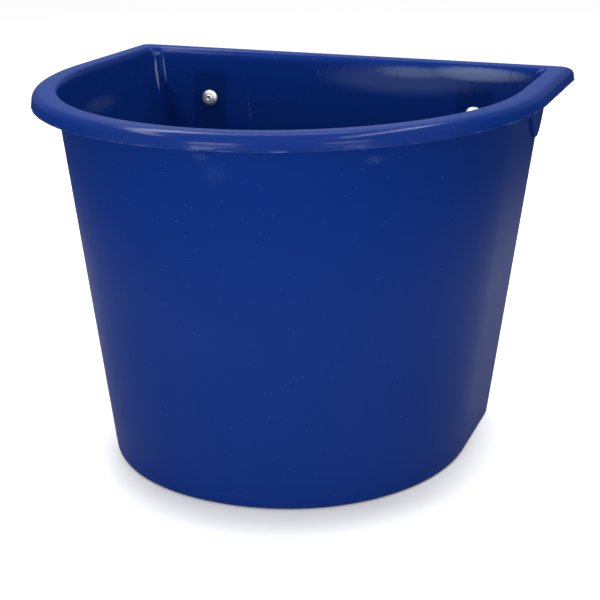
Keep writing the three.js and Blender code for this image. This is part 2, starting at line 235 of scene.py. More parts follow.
def grid_faces(rows, columns, ring):
    """Quads between neighbouring rows and columns. Columns close on themselves, and rows do so too
    if ring is true."""
    row, column = np.meshgrid(np.arange(rows if ring else rows - 1), np.arange(columns), indexing="ij")
    above, beside = (row + 1) % rows, (column + 1) % columns
    corners = [row * columns + column, row * columns + beside,
               above * columns + beside, above * columns + column]
    return np.stack(corners, axis=-1).reshape(-1, 4)


def add_object(name, data):
    """Adds an object with its data to the scene."""
    added = bpy.data.objects.new(name, data)
    bpy.context.scene.collection.objects.link(added)
    return added


def make_piece(name, points, start=None, end=None, ring=False, smooth=CREASE):
    """A closed mesh from an array of points (rows, columns, 3). start and end are points that close
    the first and the last row with a fan. If the signed volume, the sum of each corner's triple
    product over six, comes out negative, all faces are turned round, so that they point outwards."""
    rows, columns, _ = points.shape
    quads = grid_faces(rows, columns, ring)
    fans = np.zeros((0, 3), int)
    vertices = points.reshape(-1, 3)
    turn = np.arange(columns)
    for pole, first, order in ((start, 0, (1, 0)), (end, (rows - 1) * columns, (0, 1))):
        if pole is not None:
            edge = [first + turn, first + (turn + 1) % columns]
            tip = np.full(columns, len(vertices))
            fans = np.vstack([fans, np.stack([tip, edge[order[0]], edge[order[1]]], axis=-1)])
            vertices = np.vstack([vertices, np.reshape(pole, (1, 3))])
    triangles = np.vstack([quads[:, [0, 1, 2]], quads[:, [0, 2, 3]], fans])
    a, b, c = (vertices[triangles[:, k]] for k in range(3))
    if np.einsum("ij,ij->i", a, np.cross(b, c)).sum() < 0:
        quads, fans = quads[:, ::-1], fans[:, ::-1]
    totals = np.concatenate([np.full(len(quads), 4), np.full(len(fans), 3)])
    mesh = bpy.data.meshes.new(name)
    mesh.vertices.add(len(vertices))
    mesh.vertices.foreach_set("co", vertices.astype(np.float32).ravel())
    mesh.loops.add(int(totals.sum()))
    corners = np.concatenate([quads.ravel(), fans.ravel()])
    mesh.loops.foreach_set("vertex_index", corners.astype(np.int32))
    mesh.polygons.add(len(totals))
    mesh.polygons.foreach_set("loop_start", (np.cumsum(totals) - totals).astype(np.int32))
    mesh.update(calc_edges=True)
    if mesh.validate():
        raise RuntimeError(f"{name} has faces that are not valid")
    piece = add_object(name, mesh)
    soften(piece, smooth)
    return piece


def make_capped(name, rows):
    """A closed mesh whose first and last rows are closed at their middles."""
    return make_piece(name, rows, start=rows[0].mean(axis=0), end=rows[-1].mean(axis=0))


def soften(piece, angle=CREASE):
    """Shades the piece smooth, with sharp edges where faces meet at more than angle degrees."""
    piece.data.shade_smooth()
    piece.data.set_sharp_from_angle(angle=math.radians(angle))


def combine(piece, tools, operation):
    """Joins or cuts a piece with closed tools, one after the other, and takes the tools away."""
    for tool in tools:
        change = piece.modifiers.new(operation.title(), "BOOLEAN")
        change.operation = operation
        change.solver = "MANIFOLD"
        change.object = tool
        bpy.context.view_layer.update()
        shaped = piece.evaluated_get(bpy.context.evaluated_depsgraph_get())
        mesh = bpy.data.meshes.new_from_object(shaped)
        before, piece.data = piece.data, mesh
        piece.modifiers.clear()
        bpy.data.meshes.remove(before)
        bpy.data.objects.remove(tool)
        if not len(mesh.polygons):
            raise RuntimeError(f"{piece.name} has no faces left after a boolean")


def round_turn(steps):
    """Quarter turn from 0 to 90 degrees: its sines and one minus its cosines."""
    angle = np.linspace(0.0, QUARTER, steps)
    return np.sin(angle), 1.0 - np.cos(angle)


def bolt_frame(side):
    """Origin and axes of a bolt's frame: x across, y out of the wall along the bolt, z up the wall."""
    joint = swivels[side]
    out = np.array(joint["axis"], float)
    out /= np.linalg.norm(out)
    across = np.array([1.0, 0.0, 0.0])
    return np.array(joint["pos_m"], float), np.stack([across, out, np.cross(across, out)])


def placed(points, side):
    """Points of a bolt's frame, put where the bolt is."""
    origin, axes = bolt_frame(side)
    return origin + np.asarray(points) @ axes


def turned_rows(radius, place, columns):
    """A turned surface about the bolt's axis: x = r sin a, y = place, z = r cos a. The radius may
    also be an array (rows, columns), for threads, squares and hexagons."""
    angle = np.linspace(0.0, FULL, columns, endpoint=False)
    radius = np.asarray(radius, float)
    radius = radius[:, None] if radius.ndim == 1 else radius
    place = np.asarray(place, float)
    place = np.broadcast_to(place[:, None] if place.ndim == 1 else place,
                            np.broadcast_shapes(radius.shape, (1, columns)))
    return np.stack([radius * np.sin(angle), place, radius * np.cos(angle)], axis=-1)


def make_turned(name, radius, place, columns, side, **closing):
    """A piece turned about a bolt's axis."""
    return make_piece(name, placed(turned_rows(radius, place, columns), side), **closing)


# Trough


class Levels:
    """A stack of plan outlines, from which the trough's surface is drawn. Each level has a height, a
    half width, a front and a back reach, the radius of its rear corners and the fullness of its
    rounded front."""

    def __init__(self, sizes):
        self.sizes = sizes
        self.rows = []

    def add(self, *values):
        """Levels from a height, a half width, a front and a back reach, a corner and a fullness."""
        rows = np.broadcast_arrays(*(np.asarray(value, float) for value in values))
        self.rows.append(np.stack([row.ravel() for row in rows], axis=-1))

    def corner(self, z):
        """Radius of the wall's outer rear corners, which grows evenly from the base to the rim."""
        s = self.sizes
        return s.base_corner + (s.mouth_corner + s.wall - s.base_corner) * (z / s.height)

    def wall(self, z, inset, corner=None, shrink=1.0):
        """Levels of the wall, which runs straight from the base outline to the rim's, drawn in by
        inset and then shrunk towards the middle."""
        s = self.sizes
        z = np.asarray(z, float)
        rise = z / s.height
        corner = self.corner(z) - inset if corner is None else corner
        reaches = [shrink * (base + (rim - over - base) * rise - inset) for base, rim, over in (
            (s.base_half_width, s.rim_half_width, s.overhang),
            (s.base_front, s.rim_front, s.overhang),
            (s.base_back, s.rim_back, s.rear_overhang))]
        fullness = s.base_fullness + (s.rim_fullness - s.base_fullness) * rise
        self.add(z, *reaches, shrink * np.maximum(corner, s.pad_edge), fullness)

    def rim(self, z, inset, corner, rear=None):
        """Levels of the rim, drawn in from its outer edge by inset, and by rear at the back."""
        s = self.sizes
        inset = np.asarray(inset, float)
        rear = inset if rear is None else rear
        self.add(z, s.rim_half_width - inset, s.rim_front - inset, s.rim_back - rear, corner,
                 s.rim_fullness)

    def points(self, front_steps=216, side_steps=26, corner_steps=14, back_steps=64):
        """The surface: one row of points for each level. Round the front x = half * sign(cos a) *
        |cos a| ^ (2 / fullness) and y = -front * |sin a| ^ (2 / fullness). Then come a straight
        side, a quarter circle, the straight back, and the same in reverse."""
        z, half, front, back, corner, fullness = (c[:, None] for c in np.vstack(self.rows).T)
        angle = np.linspace(math.pi, 0.0, front_steps + 1)[None, :]
        power = 2.0 / fullness
        x = [half * np.sign(np.cos(angle)) * np.abs(np.cos(angle)) ** power]
        y = [-front * np.abs(np.sin(angle)) ** power]
        along = np.linspace(0.0, 1.0, side_steps + 1)[None, 1:-1]
        turn = np.linspace(0.0, QUARTER, corner_steps + 1)[None, :]
        across = np.linspace(1.0, -1.0, back_steps + 1)[None, 1:-1]
        x += [half + 0.0 * along, half - corner + corner * np.cos(turn), (half - corner) * across]
        y += [(back - corner) * along, back - corner + corner * np.sin(turn), back + 0.0 * across]
        x += [-x[2][:, ::-1], -x[1]]
        y += [y[2][:, ::-1], y[1][:, ::-1]]
        x, y = np.hstack(x), np.hstack(y)
        return np.stack([x, y, np.broadcast_to(z, x.shape)], axis=-1)


def trough_levels(s):
    """The trough's profile as a stack of levels: underside, lower edge, wall, the hollow under the
    rim, the skirt with its flash bead, the shoulder, the top of the rim, the roll into the mouth,
    the inner wall, and the floor. The shoulder is a quarter of a superellipse: it rises by height *
    sin a ^ (2 / fullness) while it draws in by width * (1 - cos a ^ (2 / fullness))."""
    levels = Levels(s)
    innermost = 0.06  # the share of the plan at which the fans about the middle start
    sine, back = round_turn(9)
    shrink = np.linspace(innermost, 1.0, 12)[:-1]
    levels.wall(np.zeros_like(shrink), s.base_edge, shrink=shrink)
    levels.wall(s.base_edge * back, s.base_edge * (1.0 - sine))
    across = np.array([-1.0, -0.4, 0.0, 0.4, 1.0])
    ridge = np.array([0.0, 0.8, 1.0, 0.8, 0.0])
    levels.wall(s.witness_height + 2.0 * s.witness_proud * across, -s.witness_proud * ridge)

    ceiling = s.height - s.rim_thickness
    root = ceiling - s.rim_root
    levels.wall(np.linspace(s.witness_height, root, 34)[1:], 0.0)
    sine, back = round_turn(7)
    levels.wall(root + s.rim_root * sine[1:], -s.rim_root * back[1:])

    foot = s.height - s.skirt_drop
    inner_corner = s.rim_corner - s.rim_thickness
    overhangs = (s.overhang, s.rear_overhang)
    hollow, rear = (np.linspace(reach - s.rim_root, s.shoulder_width, 5)[1:] for reach in overhangs)
    levels.rim(ceiling, hollow, np.linspace(levels.corner(ceiling), s.rim_corner, 5)[1:], rear)
    sine, back = round_turn(10)
    depth = s.shoulder_height - s.rim_thickness
    levels.rim(ceiling - depth * back[1:],
               s.shoulder_width - (s.shoulder_width - s.rim_thickness) * sine[1:],
               np.linspace(s.rim_corner, inner_corner, 9))
    edge = 0.25 * s.rim_thickness
    sine, back = round_turn(5)
    levels.rim(foot + edge * (1.0 - sine), s.rim_thickness - edge * back, inner_corner)

    bead_angle = np.linspace(-QUARTER, QUARTER, 9)
    levels.rim(foot + s.bead * (1.0 + np.sin(bead_angle)),
               0.5 * s.bead - s.bead * np.cos(bead_angle), s.rim_corner)
    levels.rim(foot + 2.0 * s.bead + np.array([0.1, 0.4]) * s.bead, 0.0, s.rim_corner)

    sine, back = round_turn(25)
    power = 2.0 / s.shoulder_fullness
    cosine = np.maximum(1.0 - back, 0.0)
    drawn_in = s.skirt_draft + (s.shoulder_width - s.skirt_draft) * (1.0 - cosine ** power)
    levels.rim(s.height - s.shoulder_height * (1.0 - sine ** power), drawn_in, s.rim_corner)
    levels.rim(s.height, np.linspace(s.shoulder_width, s.lip_inset, 4)[1:],
               np.linspace(s.rim_corner, levels.corner(s.height) - s.wall, 4)[1:])

    sine, back = round_turn(13)
    z = s.height - s.lip_depth * back[1:]
    inset, rear = (s.lip_inset + (reach + s.wall - s.lip_inset) * sine[1:] for reach in overhangs)
    levels.rim(z, inset, levels.corner(z) - s.wall, rear)
    fillet_top = s.floor + s.floor_fillet
    z = np.linspace(s.height - s.lip_depth, fillet_top, 30)[1:]
    levels.wall(z, s.wall, corner=levels.corner(z) - s.wall)
    sine, back = round_turn(11)
    z = fillet_top - s.floor_fillet * sine[1:]
    levels.wall(z, s.wall + s.floor_fillet * back[1:], corner=levels.corner(z) - s.wall)
    shrink = np.linspace(1.0, innermost, 14)[1:]
    levels.wall(np.full_like(shrink, s.floor), s.wall + s.floor_fillet,
                corner=levels.corner(s.floor) - s.wall, shrink=shrink)
    return levels


def rough_flash(points, s):
    """Makes the flash bead uneven. Each point moves outwards by bead * g * (ripple + nubs), where g is
    a bell curve of the height about the bead, the ripple is a product of two sines of the plan angle,
    and each nub is a bell curve about its own angle. The first three nubs have their own places, and
    the others lie anywhere round the front. The middle of the back stays straight."""
    ripple_height, nub_height, nub_width, nub_seed, back_reach = 0.4, 1.3, 0.006, 5, 0.6
    x, y, z = points[..., 0], points[..., 1], points[..., 2]
    angle = np.arctan2(y, x)
    near = np.exp(-((z - (s.height - s.skirt_drop + s.bead)) / s.bead) ** 2)
    near *= np.hypot(x / s.rim_half_width, y / s.rim_front) > back_reach
    ripple = ripple_height * np.sin(41.0 * angle) * np.sin(17.0 * angle + 1.0)
    others = np.random.default_rng(nub_seed).uniform(-math.pi, 0.0, 9)
    spots = np.concatenate([[-1.905, -1.807, -2.053], others])
    nubs = np.exp(-((angle[..., None] - spots) / nub_width) ** 2).sum(axis=-1)
    push = s.bead * near * (ripple + nub_height * nubs)
    reach = np.maximum(np.hypot(x, y), s.bead)
    return points + np.stack([push * x / reach, push * y / reach, 0.0 * push], axis=-1)


def pad_outline(s):
    """The pad's outline on the side wall, clockwise from the front of its top edge, as places behind
    and above its top rear corner: a straight slope down, a curve round the tip (a quadratic Bezier
    curve about the point where the two edges would meet), and the rear edge, which follows the lean
    of the back."""
    lean = (s.rim_back - s.rear_overhang - s.base_back) / s.height
    front, point, rear = (np.array(place) for place in (
        (-s.pad_slope, 0.0), (-s.pad_depth * lean, -s.pad_depth), (0.0, 0.0)))
    start, stop = (point + (end - point) / np.linalg.norm(end - point) * s.pad_round
                   for end in (front, rear))
    t = np.linspace(0.0, 1.0, 40, endpoint=False)[:, None]
    tip = (1 - t) ** 2 * start + 2 * t * (1 - t) * point + t ** 2 * stop
    return np.vstack([front + (start - front) * t[::2], tip, stop + (rear - stop) * t[::4],
                      rear + (front - rear) * t[::2]])


def make_pad(s, side):
    """Triangular pad that squares off a rear corner under the rim. Its outer face is a plane along the
    side wall, and its inner face runs inside the wall's thickness: x = the wall's outline at that
    place, less a quarter of the wall. Its top ends inside the rim."""
    outline = pad_outline(s)
    into_wall, below_top = 0.25 * s.wall, 0.85 * s.rim_thickness
    middle = outline.mean(axis=0)
    tangent = np.roll(outline, -1, axis=0) - np.roll(outline, 1, axis=0)
    inward = np.stack([-tangent[:, 1], tangent[:, 0]], axis=-1)
    inward /= np.linalg.norm(inward, axis=1, keepdims=True)
    inward *= np.sign(np.einsum("ij,ij->i", inward, middle - outline))[:, None]
    top = s.height - below_top
    levels = Levels(s)
    run = s.rim_back - s.rear_overhang - s.base_back
    rear = s.base_back + run * (top / s.height) - s.pad_rear_inset
    side_run = s.rim_half_width - s.overhang - s.base_half_width

    def wall_x(y, z):
        half = s.base_half_width + side_run * z / s.height
        corner = levels.corner(z)
        past = np.clip(y - (s.base_back + run * z / s.height - corner), 0.0, corner)
        return half - corner + np.sqrt(corner ** 2 - past ** 2)

    def level(shrunk, drawn_in, outer, sunk=0.0):
        flat = middle + (outline - middle) * shrunk + inward * drawn_in
        y, z = rear + flat[:, 0], top + flat[:, 1]
        face = s.base_half_width + side_run * z / s.height + s.pad_proud - sunk
        x = face if outer else wall_x(y, z) - into_wall
        return np.stack([side * x, y, z], axis=-1)

    sine, back = round_turn(6)
    rows = [level(k, 0.0, False) for k in (0.1, 0.25, 0.4, 0.55, 0.7, 0.85, 1.0)]
    rows += [level(1.0, s.pad_edge * b, True, s.pad_edge * (1.0 - a)) for a, b in zip(sine, back)]
    rows += [level(k, s.pad_edge, True) for k in (0.7, 0.4, 0.1)]
    return make_capped("pad_tool", np.stack(rows))


def neck_hole(s, f, side):
    """Square hole for a coach bolt's neck: a rounded square carried through the wall."""
    columns = 48
    width = f.neck_width + 2.0 * f.gap
    radius = rounded_square(width / 2.0, f.neck_corner, columns)
    place = np.array([-1.0, 1.0]) * (s.wall + OVERRUN)
    rows = turned_rows(np.stack([radius, radius]), place, columns)
    return make_capped("neck_tool", placed(rows, side))


def gate_mark(s):
    """Round dimple under the base with a cut-off gate in its middle, as a cutting tool: the height
    above the underside is a function of the radius alone."""
    radius = np.array([0.15, 0.2, 0.27, 0.5, 0.85, 0.93, 1.0]) * s.gate_radius
    height = np.array([0.35, 0.4, 0.95, 1.0, 1.0, 0.85, 0.0]) * s.gate_depth
    radius, height = np.append(radius, s.gate_radius), np.append(height, -OVERRUN)
    angle = np.linspace(0.0, FULL, 48, endpoint=False)
    rows = np.stack([radius[:, None] * np.cos(angle), radius[:, None] * np.sin(angle),
                     height[:, None] + 0.0 * angle], axis=-1)
    return make_piece("gate_tool", rows, start=(0.0, 0.0, height[0]), end=(0.0, 0.0, -OVERRUN))


# Hooks


def rounded_bar(half_width, half_thickness, edge, steps=4):
    """Section of a flat bar with rounded edges: four quarter circles joined by straight sides. The
    sizes may be columns, which give one section for each row."""
    turn = np.linspace(0.0, QUARTER, steps + 1)
    sections = []
    for quarter, (sx, sy) in enumerate(((1, 1), (-1, 1), (-1, -1), (1, -1))):
        angle = turn + quarter * QUARTER
        sections.append(np.stack([sx * (half_width - edge) + edge * np.cos(angle),
                                  sy * (half_thickness - edge) + edge * np.sin(angle)], axis=-1))
    return np.concatenate(sections, axis=-2)


def hook_path(h, f, s):
    """Middle line of the bent bar in the bolt's frame, as places out of the wall and up it, with the
    direction of travel: up the front plate, a quarter turn, along the bridge, a quarter turn, and
    down the rear leg."""
    neutral = h.bend + h.thickness / 2.0
    front = f.gap + h.thickness / 2.0
    bolt_end = f.bolt_length - s.wall - f.gap
    rear = bolt_end + f.gap + h.rail_gap + h.thickness / 2.0
    top = h.rise + h.thickness / 2.0
    foot = h.rise + h.thickness - h.rear_leg
    ends = h.end_radius * (1.0 - np.cos(np.linspace(0.0, QUARTER, 12)))
    up = np.concatenate([-h.drop + ends, np.linspace(-h.drop + h.end_radius, top - neutral, 12)[1:]])
    angle = np.linspace(0.0, QUARTER, 13)[1:]
    down = np.concatenate([np.linspace(top - neutral, foot + h.end_radius, 16)[1:],
                           foot + ends[::-1][1:]])
    across = np.linspace(front + neutral, rear - neutral, 12)[1:]
    places = [
        np.stack([np.full_like(up, front), up, np.zeros_like(up), np.ones_like(up)], axis=-1),
        np.stack([front + neutral * (1 - np.cos(angle)), top - neutral + neutral * np.sin(angle),
                  np.sin(angle), np.cos(angle)], axis=-1),
        np.stack([across, np.full_like(across, top), np.ones_like(across), np.zeros_like(across)],
                 axis=-1),
        np.stack([rear - neutral + neutral * np.sin(angle), top - neutral + neutral * np.cos(angle),
                  np.cos(angle), -np.sin(angle)], axis=-1),
        np.stack([np.full_like(down, rear), down, np.zeros_like(down), -np.ones_like(down)], axis=-1),
    ]
    return np.vstack(places)


def make_hook(h, f, s, side):
    """A flat bar with rounded edges carried along the bent path. Its half width near an end at the
    distance d is w - r + sqrt(r * r - (r - d) * (r - d)), which rounds the end's corners, and the
    section is drawn in over the first half millimetre, which rounds the end's edges."""
    path = hook_path(h, f, s)
    steps = np.linalg.norm(np.diff(path[:, :2], axis=0), axis=1)
    distance = np.concatenate([[0.0], np.cumsum(steps)])
    to_end = np.minimum(distance, distance[-1] - distance)
    near = np.clip(h.end_radius - to_end, 0.0, h.end_radius)
    half_width = h.width / 2.0 - h.end_radius + np.sqrt(h.end_radius ** 2 - near ** 2)
    edge_lost = 0.9  # share of the edge's radius that is gone at the very end
    short = np.clip(h.edge - to_end, 0.0, h.edge)
    drawn_in = h.edge - np.sqrt(h.edge ** 2 - short ** 2)
    half, inset = half_width[:, None], drawn_in[:, None]
    section = rounded_bar(half - inset, h.thickness / 2.0 - inset, h.edge - inset * edge_lost)
    out, up, along_out, along_up = (column[:, None] for column in path.T)
    rows = np.stack([section[..., 0], out + section[..., 1] * along_up,
                     up - section[..., 1] * along_out], axis=-1)
    hook = make_capped(f"{side}_bent_hook", placed(rows, side))
    chamfer = h.edge
    radius = h.hole / 2.0 + chamfer * np.array([4.0, 1.0, 0.0, 0.0, 1.0, 4.0])
    near_face, far_face = f.gap, f.gap + h.thickness
    place = np.array([near_face - 3.0 * chamfer, near_face, near_face + chamfer,
                      far_face - chamfer, far_face, far_face + 3.0 * chamfer])
    hole = placed(turned_rows(radius, place, 48), side)
    combine(hook, [make_capped("hole_tool", hole)], "DIFFERENCE")
    soften(hook)
    return hook


# Bolts, washers, nuts and lock rings


def rounded_square(half, corner, columns):
    """Polar radius of a square with rounded corners, by the angle from the middle of a side: the flat
    side half / cos a, and near a corner the circle that rounds it."""
    angle = np.linspace(0.0, FULL, columns, endpoint=False)
    fold = np.abs((angle + QUARTER / 2.0) % QUARTER - QUARTER / 2.0)
    flat = half / np.cos(fold)
    centre = (half - corner) * math.sqrt(2.0)
    off = QUARTER / 2.0 - fold
    arc = centre * np.cos(off) + np.sqrt(np.maximum(corner ** 2 - (centre * np.sin(off)) ** 2, 0.0))
    return np.minimum(flat, np.where(centre * np.sin(off) < corner, arc, flat))


def thread_radius(f, place, columns):
    """Radius of the screw thread at a place along it: r = outer radius - depth * w, where w is a
    triangle wave of place / pitch - a / (2 pi), cut off flat at its crests and roots."""
    angle = np.linspace(0.0, 1.0, columns, endpoint=False)
    phase = (place[:, None] / f.pitch - angle[None, :]) % 1.0
    wave = np.abs(2.0 * phase - 1.0)
    wave = np.clip(1.2 * wave - 0.1, 0.0, 1.0)
    return f.diameter / 2.0 - f.thread_depth * wave


def make_bolt(f, s, side):
    """Coach bolt, from the crown of its domed head to the end of its thread: a quarter ellipse for the
    dome, with turned rings as a cosine of the radius and a bell-shaped dimple, a straight edge, the
    flat seat, a square neck that passes into the round shank, and the thread."""
    columns, rows_per_turn, dimple_depth = 72, 16, 0.4 * f.dimple
    seat = -s.wall - f.gap
    head = f.head_diameter / 2.0
    crown = f.head_height - f.head_edge
    sine, back = round_turn(64)
    radius = head * sine
    rings = f.ring_depth * (1.0 - np.cos(FULL * radius / f.head_rings)) * (1.0 - sine ** 8)
    dimple = dimple_depth * np.exp(-(radius / f.dimple) ** 2)
    place = seat - f.head_edge - crown * (1.0 - back) + rings + dimple
    centre = place[0]
    radius, place = list(radius[1:]), list(place[1:])
    soft = 0.25 * f.head_edge
    radius += [head, head, head - soft]
    place += [seat - f.head_edge / 2.0, seat - soft, seat]
    rows = np.repeat(np.array(radius)[:, None], columns, axis=1)
    neck = rounded_square(f.neck_width / 2.0, f.neck_corner, columns)
    shank = np.full(columns, f.diameter / 2.0)
    neck_end = seat + f.neck_length
    taper = 1.2 * f.thread_depth
    fillet = 0.5 * f.thread_depth
    rows = np.vstack([rows, neck + fillet, neck, neck, neck, shank])
    place += [seat, seat + fillet, seat + f.neck_length / 2.0, neck_end - taper, neck_end]
    end = seat + f.bolt_length
    turns = np.linspace(neck_end, end, round(rows_per_turn * (end - neck_end) / f.pitch) + 1)[1:]
    thread = thread_radius(f, turns, columns)
    start = np.clip((turns - neck_end) / f.pitch, 0.0, 1.0)[:, None]
    thread = shank * (1.0 - start) + thread * start
    chamfer = f.diameter / 2.0 - np.clip(turns - (end - f.bolt_chamfer), 0.0, None)[:, None]
    rows = np.vstack([rows, np.minimum(thread, chamfer)])
    place = np.concatenate([place, turns])
    crown_pole, end_pole = placed([[0.0, centre, 0.0], [0.0, end, 0.0]], side)
    return make_turned(f"{side}_coach_bolt", rows, place, columns, side, start=crown_pole, end=end_pole)


def ring_rows(inner, outer, low, high, edge):
    """Closed profile of a ring with a rectangular section and rounded edges, as radii and places."""
    section = rounded_bar((outer - inner) / 2.0, (high - low) / 2.0, edge, 3)
    return section[:, 0] + (outer + inner) / 2.0, section[:, 1] + (high + low) / 2.0


def nut_seat(h, f):
    """Place of the nut's face, past the hook and the washer."""
    return f.gap + h.thickness + f.gap + f.washer_thickness + f.gap


def make_washer(h, f, side):
    """Washer: a rounded section turned about the bolt's axis."""
    low = f.gap + h.thickness + f.gap
    section = ring_rows(f.washer_hole / 2.0, f.washer_diameter / 2.0, low, low + f.washer_thickness,
                        f.washer_edge)
    return make_turned(f"{side}_plain_washer", *section, 72, side, ring=True)


def make_nut(h, f, side):
    """Self-locking nut: a hexagon whose polar radius is half the flats over cos a, held back by two
    chamfer cones, a round collar, the pocket of the lock ring, and a threaded bore that follows the
    bolt's thread at a small gap."""
    columns, rows_per_turn, slope = 96, 12, 1.6
    seat = nut_seat(h, f)
    top, hex_top = seat + f.nut_height, seat + f.hex_height
    angle = np.linspace(0.0, FULL, columns, endpoint=False)
    sixth = math.pi / 3.0
    hexagon = f.across_flats / 2.0 / np.cos((angle + sixth / 2.0) % sixth - sixth / 2.0)
    corner = f.across_flats / math.sqrt(3.0)
    along = np.array([0.0, 0.35, 0.7, 1.0])
    low_cone = corner - f.nut_chamfer * (1.0 - along) * slope
    chamfer_rise = 0.55 * f.nut_chamfer * along
    rise = np.concatenate([seat + chamfer_rise, hex_top - chamfer_rise[::-1]])
    cone = np.concatenate([low_cone, low_cone[::-1]])[:, None]
    body = np.minimum(hexagon, cone)
    collar = f.across_flats / 2.0 - f.nut_chamfer / 2.0
    soft = f.collar_wall / 2.0
    pocket = collar - f.collar_wall
    mouth = pocket - f.lip_reach
    radii = [collar + soft, collar, collar, collar - 0.3 * soft, collar - soft, mouth + 0.3 * soft, mouth,
             mouth, pocket, pocket]
    places = [hex_top, hex_top + soft, top - soft, top - 0.3 * soft, top, top, top - 0.3 * soft,
              top - f.collar_lip, top - f.collar_lip, hex_top]
    turned = np.repeat(np.array(radii)[:, None], columns, axis=1)
    depth = np.linspace(hex_top, seat, round(rows_per_turn * f.hex_height / f.pitch) + 1)
    bore = thread_radius(f, depth, columns) + f.thread_gap
    funnel = f.diameter / 2.0 + np.clip(seat + f.pitch / 2.0 - depth, 0.0, None)[:, None]
    bore = np.maximum(bore, np.where(depth[:, None] < seat + f.pitch / 2.0, funnel, 0.0))
    rows = np.vstack([body, turned, bore])
    place = np.concatenate([rise, places, depth])
    return make_turned(f"{side}_lock_nut", rows, place, columns, side, ring=True, smooth=25.0)


def make_lock_ring(h, f, side):
    """Nylon ring in the nut's pocket: a rounded section turned about the bolt's axis."""
    seat = nut_seat(h, f)
    low = seat + f.hex_height + f.gap
    high = seat + f.nut_height - f.collar_lip - f.gap
    inner = f.diameter / 2.0 + f.thread_gap
    outer = f.across_flats / 2.0 - f.nut_chamfer / 2.0 - f.collar_wall - f.gap / 2.0
    section = ring_rows(inner, outer, low, high, f.washer_edge / 2.0)
    return make_turned(f"{side}_nylon_ring", *section, 60, side, ring=True)


# Shader building


MIX_COLOURS, MIX_RESULT = (6, 7), 2  # sockets of the Mix node that hold colours
ORIGIN = (0.0, 0.0, 0.0)


def add_node(tree, kind, inputs=None, **settings):
    """Adds a node, changes its settings, and links or sets its inputs."""
    node = tree.nodes.new(kind)
    for name, value in settings.items():
        setattr(node, name, value)
    for socket, value in (inputs or {}).items():
        if isinstance(value, bpy.types.NodeSocket):
            tree.links.new(value, node.inputs[socket])
        else:
            node.inputs[socket].default_value = value
    return node


def maths(tree, operation, a, b=0.0, clamp=False):
    """One sum on two values, kept between 0 and 1 if clamp is true."""
    node = add_node(tree, "ShaderNodeMath", {0: a, 1: b}, operation=operation, use_clamp=clamp)
    return node.outputs[0]


def plus(tree, a, b, clamp=False):
    """Adds two values."""
    return maths(tree, "ADD", a, b, clamp)


def times(tree, product, *factors):
    """Multiplies values, one after the other."""
    for factor in factors:
        product = maths(tree, "MULTIPLY", product, factor)
    return product


def vector_maths(tree, operation, a, b):
    """One sum on two vectors."""
    return add_node(tree, "ShaderNodeVectorMath", {0: a, 1: b}, operation=operation).outputs[0]


def vector_length(tree, vector):
    """Length of a vector."""
    return add_node(tree, "ShaderNodeVectorMath", {0: vector}, operation="LENGTH").outputs["Value"]


def parts_of(tree, vector):
    """x, y and z of a vector."""
    return add_node(tree, "ShaderNodeSeparateXYZ", {0: vector}).outputs


def blend_colours(tree, factor, a, b):
    """Mixes colour a with colour b by a factor."""
    first, second = MIX_COLOURS
    node = add_node(tree, "ShaderNodeMix", {0: factor, first: a, second: b}, data_type="RGBA",
                    clamp_factor=True)
    return node.outputs[MIX_RESULT]


def fade(tree, value, low, high):
    """Maps low to 0 and high to 1, smoothly."""
    node = add_node(tree, "ShaderNodeMapRange", {"Value": value, "From Min": low, "From Max": high},
                    interpolation_type="SMOOTHSTEP", clamp=True)
    return node.outputs[0]


def noise(tree, vector, scale, detail=2.0, roughness=0.5, distortion=0.0):
    """Value of a noise texture."""
    return add_node(tree, "ShaderNodeTexNoise", {
        "Vector": vector, "Scale": scale, "Detail": detail, "Roughness": roughness,
        "Distortion": distortion}).outputs[0]


def cells(tree, vector, scale):
    """Cells of a Voronoi texture: the distance to the middle of each, and its own random numbers."""
    texture = add_node(tree, "ShaderNodeTexVoronoi", {"Vector": vector, "Scale": scale}).outputs
    return texture["Distance"], add_node(tree, "ShaderNodeSeparateColor", {0: texture["Color"]}).outputs


def new_group(name, inputs, outputs):
    """An empty node group. Its inputs are a vector and then {name: default}, and its outputs, a list
    of names, are values."""
    tree = bpy.data.node_groups.new(name, "ShaderNodeTree")
    for label, default in {"Vector": ORIGIN, **inputs}.items():
        kind = "NodeSocketVector" if isinstance(default, tuple) else "NodeSocketFloat"
        socket = tree.interface.new_socket(name=label, in_out="INPUT", socket_type=kind)
        socket.default_value = default
    for label in outputs:
        tree.interface.new_socket(name=label, in_out="OUTPUT", socket_type="NodeSocketFloat")
    return tree, tree.nodes.new("NodeGroupInput").outputs, tree.nodes.new("NodeGroupOutput").inputs


def group_node(tree, name, inputs):
    """Places a node group and sets or links its inputs."""
    return add_node(tree, "ShaderNodeGroup", inputs, node_tree=bpy.data.node_groups[name]).outputs


